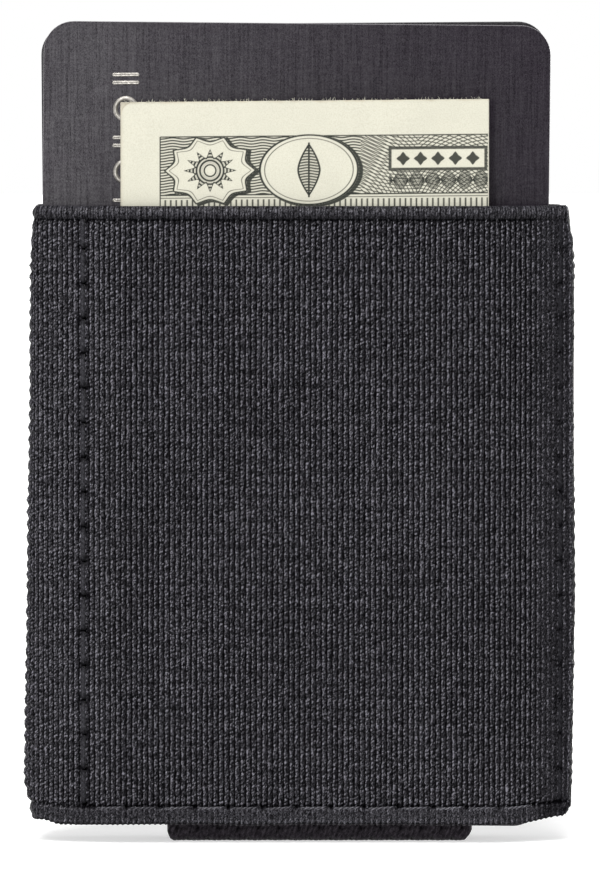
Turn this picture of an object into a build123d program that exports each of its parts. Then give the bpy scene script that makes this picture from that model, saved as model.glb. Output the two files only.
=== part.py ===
"""Slim elastic card wallet, filled for use: a woven elastic sleeve that is open at the top and the
bottom, a divider that makes a cash pocket behind its front, a webbing strap that runs under the
cards and lifts them when its tab is pulled, a stack of cards and a folded banknote.

Frame: X to the wallet's right as seen from the front, Y from the front to the back, Z up. The
origin is at the middle of the wallet's footprint, on the surface that the strap stands on.
All sizes are in millimetres.
"""
import os
from math import cos, radians, sin

from build123d import *

os.makedirs("parts", exist_ok=True)

# Cards (the ID-1 format)
CARD_WIDTH, CARD_HEIGHT, CARD_THICKNESS, CARD_CORNER = 53.98, 85.6, 0.76, 3.18
CARD_GAP = 0.06
CARD_TILTS = [-0.55, 0.42, -0.1, 0.2, 0.0]  # degrees, the front card first
CARD_X = [-0.66, -0.13, -0.4, -0.2, -0.34]  # in the same order
CARD_PIVOT_Z = 35.0  # the height that the cards are skewed about
CHIP_WIDTH, CHIP_HEIGHT, CHIP_DEPTH, CHIP_CORNER = 11.8, 13.0, 0.2, 2.0
CHIP_FROM_RIGHT, CHIP_FROM_TOP = 23.89, 15.06

# Banknote, folded into quarters
NOTE_WIDTH, NOTE_HEIGHT, NOTE_THICKNESS = 38.9, 66.3, 0.6
NOTE_X, NOTE_TOP, NOTE_TILT = 0.6, 79.3, 0.5

# Elastic sleeve
SLEEVE_HALF_WIDTH = 29.3
SLEEVE_BOTTOM, SLEEVE_TOP = 2.0, 68.0
ELASTIC_THICKNESS = 1.1
SELVAGE_ROUND = 0.45
FLAP_WIDTH = 2.1  # the flap that closes the sleeve along its right edge
SEAM_GAP = 0.02
CLEARANCE = 0.1
SLIDE_CLEARANCE = 0.08

# Webbing strap
STRAP_WIDTH, STRAP_THICKNESS, STRAP_X = 32.6, 1.3, 2.2
STRAP_BEND = 0.1  # the inner radius of its two folds under the cards
CARD_LIFT_GAP = 0.47  # under the cards, so that the skewed ones clear the strap
LOOP_TOP = 8.0
ANCHOR_TOP = 50.0
TAB_BOTTOM, TAB_TOP, TAB_FOLD_END = 62.0, 80.0, 70.5
TAB_FOLD_GAP = 0.1

# Sewing thread
THREAD_RADIUS = 0.2
SEAM_PITCH, HEM_PITCH = 3.7, 3.62  # from hole to hole, up the sides and along the other seams
STITCH_GAP = 0.5  # between two stitches that share a hole
STITCH_BEND = 0.3
LOCK_GAP = 0.1  # how far each leg ends from the middle of the cloth, where the two threads meet
LEFT_SEAM_X = -23.0
RIGHT_SEAM_X = 27.8
SEAM_START_Z, SEAM_END_Z = 4.25, 67.2
HEM_SEAM_Z = 3.9
HEM_SEAM_START, HEM_SEAM_END = -21.9, 25.3
ANCHOR_SEAM_Z = [45.5, 48.6]
TAB_SEAM_Z = 72.0
STRAP_SEAM_MARGIN = 2.0

# Depths, counted from the middle of the card stack
card_count = len(CARD_TILTS)
stack_half = (card_count * CARD_THICKNESS + (card_count - 1) * CARD_GAP) / 2
leg_inner = stack_half + CLEARANCE
leg_outer = leg_inner + STRAP_THICKNESS
pocket_half = leg_outer + SLIDE_CLEARANCE
divider_front = pocket_half + ELASTIC_THICKNESS
cash_front = divider_front + NOTE_THICKNESS + 2 * CLEARANCE
sleeve_front = cash_front + ELASTIC_THICKNESS
tab_back = leg_outer + TAB_FOLD_GAP + STRAP_THICKNESS  # the folded tab stands proudest at the back
stack_y = (sleeve_front - tab_back) / 2  # puts the footprint's middle at Y 0

# Heights
card_bottom = STRAP_THICKNESS + CARD_LIFT_GAP
card_top = card_bottom + CARD_HEIGHT
sleeve_height = SLEEVE_TOP - SLEEVE_BOTTOM

# The sleeve's inside, in plan
pocket_left = -SLEEVE_HALF_WIDTH + ELASTIC_THICKNESS
pocket_right = SLEEVE_HALF_WIDTH - FLAP_WIDTH
edge_depth = stack_half + 0.13  # the pocket's half depth at the cards' right edge
corner_depth = stack_half + 0.58  # and where the sleeve turns round their left edge
crown_left, crown_right = NOTE_X - 19.85, NOTE_X + 19.95  # the flat stretch over the banknote
divider_end = LEFT_SEAM_X - 1.6
flap_front = edge_depth + ELASTIC_THICKNESS + 2 * SEAM_GAP


def plan(x, depth):
    """A point in plan, at a depth behind the middle of the card stack."""
    return (x, stack_y + depth)


def save(part, name):
    """Labels a finished piece and writes it."""
    part.label = name
    export_step(part, f"parts/{name}.step")


def face_plane(x, y, z, tilt=0):
    """An upright plane at a point, facing the front, with its own X turned by tilt degrees."""
    return Plane(origin=(x, y, z), x_dir=(cos(radians(tilt)), 0, sin(radians(tilt))), z_dir=(0, -1, 0))


def strip_slab(route, radii):
    """The sleeve's height of elastic along a route in plan, its thickness to the route's right."""
    with BuildPart() as slab:
        with BuildSketch(Plane.XY.offset(SLEEVE_BOTTOM)):
            with BuildLine():
                FilletPolyline(*route, radius=radii)
                offset(amount=ELASTIC_THICKNESS, side=Side.RIGHT)
            make_face()
        extrude(amount=sleeve_height)
        ends = slab.faces().filter_by(Axis.Z)
        fillet(ends.edges().filter_by(lambda e: e.length > ELASTIC_THICKNESS * 1.01), SELVAGE_ROUND)
    return slab.part


# The elastic band is one strip. From its flap behind the front edge it runs round the right side,
# across the back, round the left side and across the front, always with its thickness outwards.
back_route = [
    plan(SLEEVE_HALF_WIDTH, -edge_depth),
    plan(pocket_right, -edge_depth),
    plan(pocket_right, edge_depth + 0.15),
    plan(STRAP_X + 17.3, pocket_half),
    plan(STRAP_X - 17.3, pocket_half),
    plan(pocket_left, corner_depth),
    plan(pocket_left, 0),
]
front_route = [
    plan(pocket_left, 0),
    plan(pocket_left, -corner_depth),
    plan(divider_end - 0.3, -divider_front + 0.55),
    plan(crown_left, -cash_front),
    plan(crown_right, -cash_front),
    plan(pocket_right, -flap_front),
    plan(SLEEVE_HALF_WIDTH, -flap_front),
]
divider_route = [
    plan(divider_end, -edge_depth - 0.55),
    plan(crown_left, -pocket_half),
    plan(STRAP_X + 17.3, -pocket_half),
    plan(pocket_right, -edge_depth - SEAM_GAP),
    plan(SLEEVE_HALF_WIDTH, -edge_depth - SEAM_GAP),
]

with BuildPart() as elastic_band:
    add(strip_slab(back_route, [1.3, 0.6, 6, 6, 1.2]))
    add(strip_slab(front_route, [1.2, 3, 4, 4, 3]))
save(elastic_band.part, "elastic_band")

# The divider is sewn to the band's front along both sides and along the bottom.
with BuildPart() as divider_panel:
    add(strip_slab(divider_route, [6, 6, 3]))
save(divider_panel.part, "divider_panel")


def route_at(route, x):
    """The Y of a route in plan where it crosses x, and its slope there."""
    for (x0, y0), (x1, y1) in zip(route, route[1:]):
        if x0 <= x <= x1 and x1 > x0:
            slope = (y1 - y0) / (x1 - x0)
            return y0 + slope * (x - x0), slope
    raise ValueError(f"the route doesn't cross x = {x}")


def front_at(x):
    """The Y of the sleeve's front surface at x."""
    y, slope = route_at(front_route, x)
    return y - ELASTIC_THICKNESS * (1 + slope**2) ** 0.5


def divider_at(x):
    """The Y of the divider's back face at x."""
    return route_at(divider_route, x)[0]


def stitch(pitch, leg):
    """One stitch: a run of thread along X, sunk flush in the cloth, with a leg down each of its holes."""
    half = (pitch - STITCH_GAP) / 2 - THREAD_RADIUS
    with BuildPart() as thread:
        with BuildLine() as path:
            FilletPolyline(
                (-half, 0, -leg),
                (-half, 0, -THREAD_RADIUS),
                (half, 0, -THREAD_RADIUS),
                (half, 0, -leg),
                radius=STITCH_BEND,
            )
        with BuildSketch(Plane(origin=path.line @ 0, z_dir=path.line % 0)):
            Circle(THREAD_RADIUS)
        sweep()
    return thread.part


def lockstitch(places, pitch, thickness):
    """Top and bottom threads at (front plane, back plane) places, with legs that meet in the cloth."""
    one = stitch(pitch, thickness / 2 - LOCK_GAP)
    return [plane.location * one for place in places for plane in place]


def flat_places(points, along, thickness):
    """Places for stitches through flat cloth, from points on its front face."""
    fronts = [Plane(origin=point, x_dir=along, z_dir=(0, -1, 0)) for point in points]
    behind = [front.offset(-thickness).origin for front in fronts]
    backs = [Plane(origin=point, x_dir=along, z_dir=(0, 1, 0)) for point in behind]
    return list(zip(fronts, backs))


def hem_plane(surface_y, x, side):
    """The plane of a hem stitch that lies along a curved surface: side is 1 at the front, -1 at the back."""
    y_before, y_after = surface_y(x - HEM_PITCH / 2), surface_y(x + HEM_PITCH / 2)
    run = Vector(HEM_PITCH, y_after - y_before, 0)
    middle = (x, (y_before + y_after) / 2, HEM_SEAM_Z)
    return Plane(origin=middle, x_dir=run, z_dir=run.cross(Vector(0, 0, side)))


def seam_steps(start, end, pitch):
    """The middles of the stitches that fit from start to end."""
    count = int((end - start) / pitch + 0.01)
    return [start + pitch * (i + 0.5) for i in range(count)]


# Seams: the left one holds the divider's end, the right one closes the sleeve through the flap, and
# the hem shuts the bottom of the cash pocket.
left_front = front_at(LEFT_SEAM_X)
left_depth = divider_at(LEFT_SEAM_X) - left_front
side_steps = seam_steps(SEAM_START_Z, SEAM_END_Z, SEAM_PITCH)
with BuildPart() as left_seam_thread:
    points = [(LEFT_SEAM_X, left_front, z) for z in side_steps]
    add(lockstitch(flat_places(points, (0, 0, 1), left_depth), SEAM_PITCH, left_depth))
save(left_seam_thread.part, "left_seam_thread")

right_front = stack_y - flap_front - ELASTIC_THICKNESS
right_depth = stack_y - edge_depth + ELASTIC_THICKNESS - right_front
with BuildPart() as right_seam_thread:
    points = [(RIGHT_SEAM_X, right_front, z) for z in side_steps]
    add(lockstitch(flat_places(points, (0, 0, 1), right_depth), SEAM_PITCH, right_depth))
save(right_seam_thread.part, "right_seam_thread")

with BuildPart() as bottom_hem_thread:
    for x in seam_steps(HEM_SEAM_START, HEM_SEAM_END, HEM_PITCH):
        place = hem_plane(front_at, x, 1), hem_plane(divider_at, x, -1)
        add(lockstitch([place], HEM_PITCH, place[1].origin.Y - place[0].origin.Y))
save(bottom_hem_thread.part, "bottom_hem_thread")


# The strap is one webbing. Its front leg is sewn to the divider, the loop carries the cards, and
# the back leg ends in the folded tab that a thumb pulls.
def strap_leg(depth, low, high):
    """A straight stretch of the strap, with its front face at a depth."""
    with BuildPart() as leg:
        with BuildSketch(face_plane(STRAP_X, stack_y + depth, (low + high) / 2)):
            Rectangle(STRAP_WIDTH, high - low)
        extrude(amount=-STRAP_THICKNESS)
    return leg.part


with BuildPart() as strap_front_leg:
    add(strap_leg(-leg_outer, LOOP_TOP, ANCHOR_TOP))
save(strap_front_leg.part, "strap_front_leg")

with BuildPart() as strap_back_leg:
    add(strap_leg(leg_inner, LOOP_TOP, TAB_BOTTOM))
save(strap_back_leg.part, "strap_back_leg")

with BuildPart() as strap_loop:
    for reach, low, radius, mode in (
        (leg_outer, 0, STRAP_BEND + STRAP_THICKNESS, Mode.ADD),
        (leg_inner, STRAP_THICKNESS, STRAP_BEND, Mode.SUBTRACT),
    ):
        with BuildSketch(Plane.YZ.offset(STRAP_X)):
            with BuildLine():
                outline = FilletPolyline(
                    (stack_y - reach, LOOP_TOP),
                    (stack_y - reach, low),
                    (stack_y + reach, low),
                    (stack_y + reach, LOOP_TOP),
                    radius=radius,
                )
                Line(outline @ 0, outline @ 1)
            make_face()
        extrude(amount=STRAP_WIDTH / 2, both=True, mode=mode)
save(strap_loop.part, "strap_loop")

with BuildPart() as pull_tab:
    with BuildSketch(Plane.YZ.offset(STRAP_X)):
        with BuildLine():
            FilletPolyline(
                (stack_y + leg_outer, TAB_BOTTOM),
                (stack_y + leg_outer, TAB_TOP - STRAP_THICKNESS),
                (stack_y + leg_outer + TAB_FOLD_GAP, TAB_TOP - STRAP_THICKNESS),
                (stack_y + leg_outer + TAB_FOLD_GAP, TAB_FOLD_END),
                radius=TAB_FOLD_GAP * 0.45,
            )
            offset(amount=STRAP_THICKNESS, side=Side.LEFT)
        make_face()
    extrude(amount=STRAP_WIDTH / 2, both=True)
save(pull_tab.part, "pull_tab")

strap_seam = STRAP_WIDTH / 2 - STRAP_SEAM_MARGIN
strap_steps = seam_steps(STRAP_X - strap_seam, STRAP_X + strap_seam, HEM_PITCH)
anchor_depth = divider_front - leg_inner
with BuildPart() as anchor_thread:
    points = [(x, stack_y - divider_front, z) for z in ANCHOR_SEAM_Z for x in strap_steps]
    add(lockstitch(flat_places(points, (1, 0, 0), anchor_depth), HEM_PITCH, anchor_depth))
save(anchor_thread.part, "anchor_thread")

tab_depth = 2 * STRAP_THICKNESS + TAB_FOLD_GAP
with BuildPart() as tab_thread:
    points = [(x, stack_y + leg_inner, TAB_SEAM_Z) for x in strap_steps]
    add(lockstitch(flat_places(points, (1, 0, 0), tab_depth), HEM_PITCH, tab_depth))
save(tab_thread.part, "tab_thread")


# Cards: the front one carries a contact chip.
def card_plane(number, x, z):
    """The front face of a card, at a place on the card's own face, with the card's skew."""
    tilt = CARD_TILTS[number]
    depth = -stack_half + number * (CARD_THICKNESS + CARD_GAP)
    face = face_plane(CARD_X[number], stack_y + depth, CARD_PIVOT_Z, tilt)
    place = face.from_local_coords((x, z - CARD_PIVOT_Z, 0))
    return Plane(origin=place, x_dir=face.x_dir, z_dir=face.z_dir)


chip_x = CARD_WIDTH / 2 - CHIP_FROM_RIGHT
chip_z = card_top - CHIP_FROM_TOP
for number in range(card_count):
    with BuildPart() as card:
        with BuildSketch(card_plane(number, 0, card_bottom + CARD_HEIGHT / 2)):
            RectangleRounded(CARD_WIDTH, CARD_HEIGHT, CARD_CORNER)
        extrude(amount=-CARD_THICKNESS)
        fillet(card.faces().filter_by(Axis.Y).edges(), 0.12)
        if number == 0:
            with BuildSketch(card_plane(number, chip_x, chip_z)):
                RectangleRounded(CHIP_WIDTH, CHIP_HEIGHT, CHIP_CORNER)
            extrude(amount=-CHIP_DEPTH, mode=Mode.SUBTRACT)
    save(card.part, f"card_{number + 1}")

with BuildPart() as card_chip:
    with BuildSketch(card_plane(0, chip_x, chip_z)):
        RectangleRounded(CHIP_WIDTH - 2 * SEAM_GAP, CHIP_HEIGHT - 2 * SEAM_GAP, CHIP_CORNER)
    extrude(amount=-CHIP_DEPTH)
    with BuildSketch(card_plane(0, chip_x, chip_z)):  # the grooves between the contacts
        with GridLocations(CHIP_WIDTH / 2.4, 0, 2, 1):
            Rectangle(0.25, CHIP_HEIGHT)
        with GridLocations(0, CHIP_HEIGHT / 4, 1, 3):
            Rectangle(CHIP_WIDTH, 0.25)
    extrude(amount=-CHIP_DEPTH / 3, mode=Mode.SUBTRACT)
save(card_chip.part, "card_chip")

note_middle_z = NOTE_TOP - NOTE_HEIGHT / 2
with BuildPart() as banknote:
    with BuildSketch(face_plane(NOTE_X, stack_y - cash_front + CLEARANCE, note_middle_z, NOTE_TILT)):
        Rectangle(NOTE_WIDTH, NOTE_HEIGHT)
    extrude(amount=-NOTE_THICKNESS)
    long_edges = banknote.edges().filter_by(lambda e: e.length > NOTE_HEIGHT * 0.99)
    fillet(long_edges, NOTE_THICKNESS * 0.45)
save(banknote.part, "banknote")
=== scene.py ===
"""Looks of the slim elastic wallet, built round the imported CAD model.

Lengths are in millimetres in this file, and turn into metres where a mesh is made. X runs to the
wallet's right as seen from the front, Y from the front to the back and Z up.
"""
from math import cos, pi, radians, sin, tan

import bpy
import numpy as np
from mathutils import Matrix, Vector


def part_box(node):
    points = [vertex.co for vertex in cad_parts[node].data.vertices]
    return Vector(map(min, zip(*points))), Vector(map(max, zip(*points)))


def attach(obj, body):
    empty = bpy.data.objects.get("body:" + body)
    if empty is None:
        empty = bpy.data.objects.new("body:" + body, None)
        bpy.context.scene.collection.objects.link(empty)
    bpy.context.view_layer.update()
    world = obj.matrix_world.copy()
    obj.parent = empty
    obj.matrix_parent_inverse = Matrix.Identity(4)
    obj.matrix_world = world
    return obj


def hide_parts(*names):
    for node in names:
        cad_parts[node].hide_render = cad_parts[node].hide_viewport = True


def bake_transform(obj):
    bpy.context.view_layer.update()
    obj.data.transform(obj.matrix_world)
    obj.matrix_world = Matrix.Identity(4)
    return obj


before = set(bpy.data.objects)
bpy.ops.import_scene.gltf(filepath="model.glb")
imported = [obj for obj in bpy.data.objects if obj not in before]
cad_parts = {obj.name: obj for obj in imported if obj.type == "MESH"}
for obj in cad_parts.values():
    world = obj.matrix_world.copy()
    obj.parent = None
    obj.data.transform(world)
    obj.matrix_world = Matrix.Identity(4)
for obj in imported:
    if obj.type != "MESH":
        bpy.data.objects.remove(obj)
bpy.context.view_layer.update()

MM = 0.001
SEED = 20
NOISE_CELLS = 61, 67  # after which smooth_noise repeats


def box(node):
    """The lowest and highest corner of a CAD node, in millimetres."""
    low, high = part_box(node)
    return low / MM, high / MM


# Places from the frame
band_low, band_high = box("elastic_band")
divider_low, divider_high = box("divider_panel")
note_low, note_high = box("banknote")
stack_front, stack_back = box("card_1")[0].y, box("card_5")[1].y
loop_low, loop_high = box("strap_loop")
front_leg_low, front_leg_high = box("strap_front_leg")
back_leg_low, back_leg_high = box("strap_back_leg")
tab_low, tab_high = box("pull_tab")
hem_low, hem_high = box("bottom_hem_thread")
left_low, left_high = box("left_seam_thread")
right_low, right_high = box("right_seam_thread")
anchor_low, anchor_high = box("anchor_thread")
tab_seam_low, tab_seam_high = box("tab_thread")

# The elastic and its weave
ELASTIC = 1.1  # thickness
RIB = 0.577  # from one rib to the next
RIB_COLUMNS = np.array([0.0, 0.13, 0.24, 0.35, 0.48, 0.66, 0.85])  # mesh columns across a rib
RIB_RELIEF = np.array([-0.15, -0.055, 0.0, -0.005, -0.045, -0.08, -0.115])  # their heights
RIB_CREST = np.array([0.0, 0.6, 1.0, 1.0, 0.6, 0.3, 0.15])  # how much of a bead shows there
RIB_PAINTED_LIGHT = np.array([0.0, 0.12, 1.2, 1.2, 0.38, 0.3, 0.18])  # their painted light: black shade in the groove, a highlight on the crest, shade down the right flank
ROLL_STROKE = np.array([-1.0, 0.3, 0.8, -0.5, 0.7, 0.2, -0.4])  # their relief on the rolled edge
BEAD = 0.442  # from one bead of a rib to the next
BEAD_STRENGTH = np.array([1.0, 0.42, 0.7])  # every third bead of a rib stands out
BEAD_HEIGHT = 0.14
BEAD_SLANT = 0.5
BOLD_ROW = 3 * BEAD  # from one bold bead to the next
ROWS_PER_BEAD = 4
LIGHT_BEADS, LIGHT_BEAD_TONE = 0.006, 2.3  # the share of beads in a lighter yarn, and its tone
FLOATS = 0.045  # the share of beads whose yarn floats over the next bead
GLINTS, GLINT_GAIN = 0.03, 4.0  # the share of filaments with a painted glint, and how much brighter
SPECKLE = 0.85  # spread of the single filaments' brightness
SHADE_LIMIT = 3.0  # the brightest painted highlight; 1 is the yarn's crest colour
ROLL_RADIUS = 0.72  # the rolled selvage along the top
ROLL_GROOVE_Z = band_high.z - 1.5
HEM_GROOVE_Z = (hem_low.z + hem_high.z) / 2 + 0.1

# Seams
STITCH_GAP = 0.5  # between the CAD's stitches
SIDE_PITCH, CROSS_PITCH = 3.7, 3.62  # from hole to hole up the sides, and across
THREAD_RADIUS = 0.17
PLY_TWIST = 1.15  # the length of one turn of a thread's two plies

# The webbing
WEB_RIB, WEB_PICK = 1.087, 0.62  # across it and along it
WEB_RELIEF = 0.11
STRAP_BEND, TAB_BEND = 0.75, 0.62  # radii of the webbing's middle line in the loop and in the tab
TAB_HEM = 1.3  # how far the tab's folded end reaches below its stitches

# The banknote
PAPER = 0.11  # thickness
NOTE_LAYERS = 4
NOTE_WIDTH, NOTE_HEIGHT = 38.9, 66.3
NOTE_TILT = radians(0.5)
NOTE_SLACK = 0.04  # between the folded layers and the CAD's front and back
NOTE_DROP = 0.12  # of the top edge below the CAD's highest corner
CORNER_RADIUS = 1.2  # the front layer's worn corner
PRINT_STEP = 0.056  # mesh pitch where the print is fine
PRINT_DEPTH = 13.0  # how far down from the top edge the mesh is that fine
FIBRES, FIBRE_RADIUS = 230, 0.024  # loose ones along its worn top edge

# Its print, from its left and top edges
PRINT_LEFT, PRINT_TOP = 4.1, 3.75
PRINT_BORDER = PRINT_TOP + 6.2  # the main band's lower line
BAND_END = 12.5  # where the print that shows at rest ends
ROSETTE_X, LEAF_X = 9.4, 19.9
LACE_LEFT = 25.4
HATCH_PITCH, RING_PITCH, UPRIGHT_PITCH = 0.3, 0.36, 0.5
INK_EDGE = 0.06  # how softly a printed line ends

note_x = (note_low.x + note_high.x) / 2
note_front_y = note_low.y + NOTE_SLACK

left_seam_x = (left_low.x + left_high.x) / 2
right_seam_x = (right_low.x + right_high.x) / 2
strap_x, strap_half = (loop_low.x + loop_high.x) / 2, (loop_high.x - loop_low.x) / 2
strap_thickness = front_leg_high.y - front_leg_low.y
stack_y = (stack_front + stack_back) / 2
stack_half = (stack_back - stack_front) / 2


# ---- mesh tools
def smooth_noise(seed, u, v=0.0):
    """Smooth random values between -1 and 1, one cell of the pattern for each whole u and v."""
    u, v = np.broadcast_arrays(np.asarray(u, float), np.asarray(v, float))
    table = np.random.default_rng(seed).uniform(-1, 1, NOISE_CELLS)
    iu, iv = np.floor(u).astype(int), np.floor(v).astype(int)
    fu, fv = u - iu, v - iv
    fu, fv = fu * fu * (3 - 2 * fu), fv * fv * (3 - 2 * fv)

    def corner(a, b):
        return table[(iu + a) % NOISE_CELLS[0], (iv + b) % NOISE_CELLS[1]]

    low = corner(0, 0) * (1 - fu) + corner(1, 0) * fu
    high = corner(0, 1) * (1 - fu) + corner(1, 1) * fu
    return low * (1 - fv) + high * fv


def bump(x, width):
    """A soft hump of height 1 about zero."""
    return np.exp(-((x / width) ** 2))


def ramp(x, low, high):
    """0 up to low, 1 from high on, and smooth between them."""
    t = np.clip((x - low) / (high - low), 0, 1)
    return t * t * (3 - 2 * t)


def grid_faces(rows, columns):
    """Quads of a grid of points whose last column joins its first."""
    index = np.arange(rows * columns).reshape(rows, columns)
    index = np.concatenate([index, index[:, :1]], axis=1)
    corners = index[:-1, :-1], index[1:, :-1], index[1:, 1:], index[:-1, 1:]
    return np.stack(corners, axis=-1).reshape(-1, 4)


def new_object(name, data):
    """An object in the scene."""
    added = bpy.data.objects.new(name, data)
    bpy.context.scene.collection.objects.link(added)
    return added


def new_piece(name, points, quads, caps=(), **values):
    """A smooth mesh from points in millimetres, quads and caps, with values stored at its points."""
    mesh = bpy.data.meshes.new(name)
    points = np.asarray(points, float).reshape(-1, 3)
    loops = np.concatenate([quads.ravel(), *caps]).astype(np.int32)
    sizes = np.concatenate([np.full(len(quads), 4), [len(cap) for cap in caps]]).astype(int)
    mesh.vertices.add(len(points))
    mesh.loops.add(len(loops))
    mesh.polygons.add(len(sizes))
    mesh.vertices.foreach_set("co", (points * MM).astype(np.float32).ravel())
    mesh.loops.foreach_set("vertex_index", loops)
    mesh.polygons.foreach_set("loop_start", (np.cumsum(sizes) - sizes).astype(np.int32))
    mesh.polygons.foreach_set("use_smooth", np.ones(len(sizes), bool))
    mesh.update(calc_edges=True)
    for key, value in values.items():
        field = mesh.attributes.new(key, "FLOAT", "POINT")
        field.data.foreach_set("value", np.asarray(value, np.float32).ravel())
    return new_object(name, mesh)


def swept_piece(name, *parts):
    """One mesh of closed solids. Each is a grid of points, whose rows run along it and whose columns go
    round it, and the values stored there."""
    points, quads, caps, count = [], [], [], 0
    for grid, _ in parts:
        rows, columns = grid.shape[:2]
        start = np.arange(columns) + count
        points.append(grid.reshape(-1, 3))
        quads.append(grid_faces(rows, columns) + count)
        caps += [start, start[::-1] + (rows - 1) * columns]
        count += rows * columns
    stored = {}
    for key in parts[0][1]:
        grids = [np.broadcast_to(values[key], grid.shape[:2]) for grid, values in parts]
        stored[key] = np.concatenate([grid.ravel() for grid in grids])
    return new_piece(name, np.concatenate(points), np.concatenate(quads), caps, **stored)


def finish_piece(piece, body, material, nodes):
    """Gives a piece its material and puts it on its body, in the place of CAD nodes."""
    piece.data.materials.append(material)
    if body:
        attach(piece, body)
    if nodes:
        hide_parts(*nodes)
    return piece


# ---- materials
class Nodes:
    """A short way to write the nodes of a material or a world."""

    def __init__(self, owner, surface="Principled BSDF"):
        owner.use_nodes = True
        self.owner = owner
        self.tree = owner.node_tree
        self.surface = self.tree.nodes[surface]

    def set(self, **inputs):
        """Sets or links inputs of the surface; spaces in their names are written as _."""
        for key, value in inputs.items():
            self.plug(self.surface.inputs[key.replace("_", " ")], value)

    def plug(self, socket, value):
        """Links a node's output to a socket, or sets a number or colour there."""
        if isinstance(value, bpy.types.NodeSocket):
            self.tree.links.new(value, socket)
        elif hasattr(value, "__len__") and len(value) == 3 and socket.type == "RGBA":
            socket.default_value = (*value, 1)
        else:
            socket.default_value = value

    def node(self, kind, inputs=(), **settings):
        """The outputs of a new node; its inputs are given by name or number."""
        node = self.tree.nodes.new("ShaderNode" + kind)
        for key, value in settings.items():
            setattr(node, key, value)
        for key, value in dict(inputs).items():
            self.plug(node.inputs[key], value)
        return node.outputs

    def attribute(self, name):
        return self.node("Attribute", attribute_name=name)["Fac"]

    def noise(self, size, detail=2.0, roughness=0.5, lean=0.0):
        """Noise whose grains have a size in millimetres along X, Y and Z, leaning from Z towards X."""
        place = {"Vector": self.node("TexCoord")["Object"], "Rotation": (0, radians(lean), 0)}
        place["Scale"] = [x * MM for x in size]
        place = self.node("Mapping", place, vector_type="TEXTURE")["Vector"]
        grain = {"Vector": place, "Scale": 1, "Detail": detail, "Roughness": roughness}
        return self.node("TexNoise", grain)["Fac"]

    def math(self, operation, a, b=0.0, c=0.0):
        return self.node("Math", enumerate((a, b, c)), operation=operation)["Value"]

    def times(self, a, b):
        return self.math("MULTIPLY", a, b)

    def span(self, value, low, high, to_low, to_high):
        """Turns a value from low..high into to_low..to_high, clamped."""
        keys = "Value", "From Min", "From Max", "To Min", "To Max"
        return self.node("MapRange", zip(keys, (value, low, high, to_low, to_high)))["Result"]

    def mix(self, share, first, second):
        return self.node("Mix", {"Factor": share, 6: first, 7: second}, data_type="RGBA")[2]

    def face_share(self, axis, low, high):
        """1 on faces that look along an axis, 0 on faces across it."""
        normal = self.node("NewGeometry")["Normal"]
        along = self.node("SeparateXYZ", {"Vector": normal})[axis]
        return self.span(self.math("ABSOLUTE", along), low, high, 0.0, 1.0)

    def relief(self, height, distance):
        return self.node("Bump", {"Height": height, "Distance": distance * MM})["Normal"]


# Painted shade deep in the grooves of the cloth and of the thread
CLOTH_GROOVE_SHADE, THREAD_GROOVE_SHADE = (0.0006, 0.0005, 0.0007), (0.0015, 0.0015, 0.002)
WORN_PAPER = (0.33, 0.29, 0.22)


def scaled(colour, share):
    """A colour made darker or lighter."""
    return tuple(share * c for c in colour)


def fabric(name, groove, crest, roughness, strand, lean, glint, sheen=0.5):
    """Dyed yarn whose colour carries painted light: it follows the stored shade, from painted shade in the
    grooves to painted highlights, broken up by the filaments of the yarn and their painted glints.
    """
    nodes = Nodes(bpy.data.materials.new(name))
    shade = nodes.attribute("shade")
    filaments = nodes.noise(strand, 2.0, 0.6, lean)
    fuzz = nodes.noise((0.11, 0.11, 0.13), 1.0)
    patches = nodes.noise((14.0, 14.0, 16.0), 2.0)
    broken = nodes.span(filaments, 0.38, 0.64, 1.0 - glint, 1.0 + glint)
    broken = nodes.times(broken, nodes.span(fuzz, 0.32, 0.68, 0.6, 1.4))
    broken = nodes.times(broken, nodes.span(patches, 0.3, 0.7, 0.9, 1.1))
    lit = nodes.times(shade, broken)
    share = nodes.math("DIVIDE", lit, SHADE_LIMIT)
    nodes.set(
        Base_Color=nodes.mix(share, groove, scaled(crest, SHADE_LIMIT)),
        Roughness=roughness,
        Specular_IOR_Level=nodes.span(lit, 0.0, 1.4, 0.0, sheen),
        Normal=nodes.relief(filaments, 0.035),
    )
    return nodes.owner


def card_plastic(name, face, edge):
    """Dark satin card with a fine upright brushed grain, and a lighter colour on its cut edges."""
    nodes = Nodes(bpy.data.materials.new(name))
    grain = nodes.noise((0.1, 0.5, 0.15), 2.0, 0.7)
    streaks = nodes.noise((0.16, 2.5, 5.0), 2.0, 0.6)
    scuffs = nodes.noise((1.4, 2.5, 0.25), 3.0, 0.65)
    grain = nodes.math("MULTIPLY_ADD", streaks, 0.35, nodes.times(grain, 0.65))
    broad = nodes.noise((9.0, 5.0, 14.0), 3.0)
    fine_tone = nodes.span(grain, 0.35, 0.65, 0.4, 1.6)
    broad_tone = nodes.span(broad, 0.3, 0.7, 0.88, 1.12)
    light = nodes.mix(nodes.times(fine_tone, broad_tone), (0.0, 0.0, 0.0), face)
    flat = nodes.face_share("Y", 0.55, 0.9)
    brushed = nodes.span(grain, 0.36, 0.64, 0.1, 0.36)
    polish = nodes.times(brushed, nodes.span(scuffs, 0.35, 0.7, 0.9, 1.16))
    nodes.set(
        Base_Color=nodes.mix(flat, edge, light),
        Roughness=nodes.span(broad, 0.3, 0.7, 0.31, 0.35),
        Specular_IOR_Level=polish,
        Normal=nodes.relief(grain, 0.004),
    )
    return nodes.owner


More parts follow.
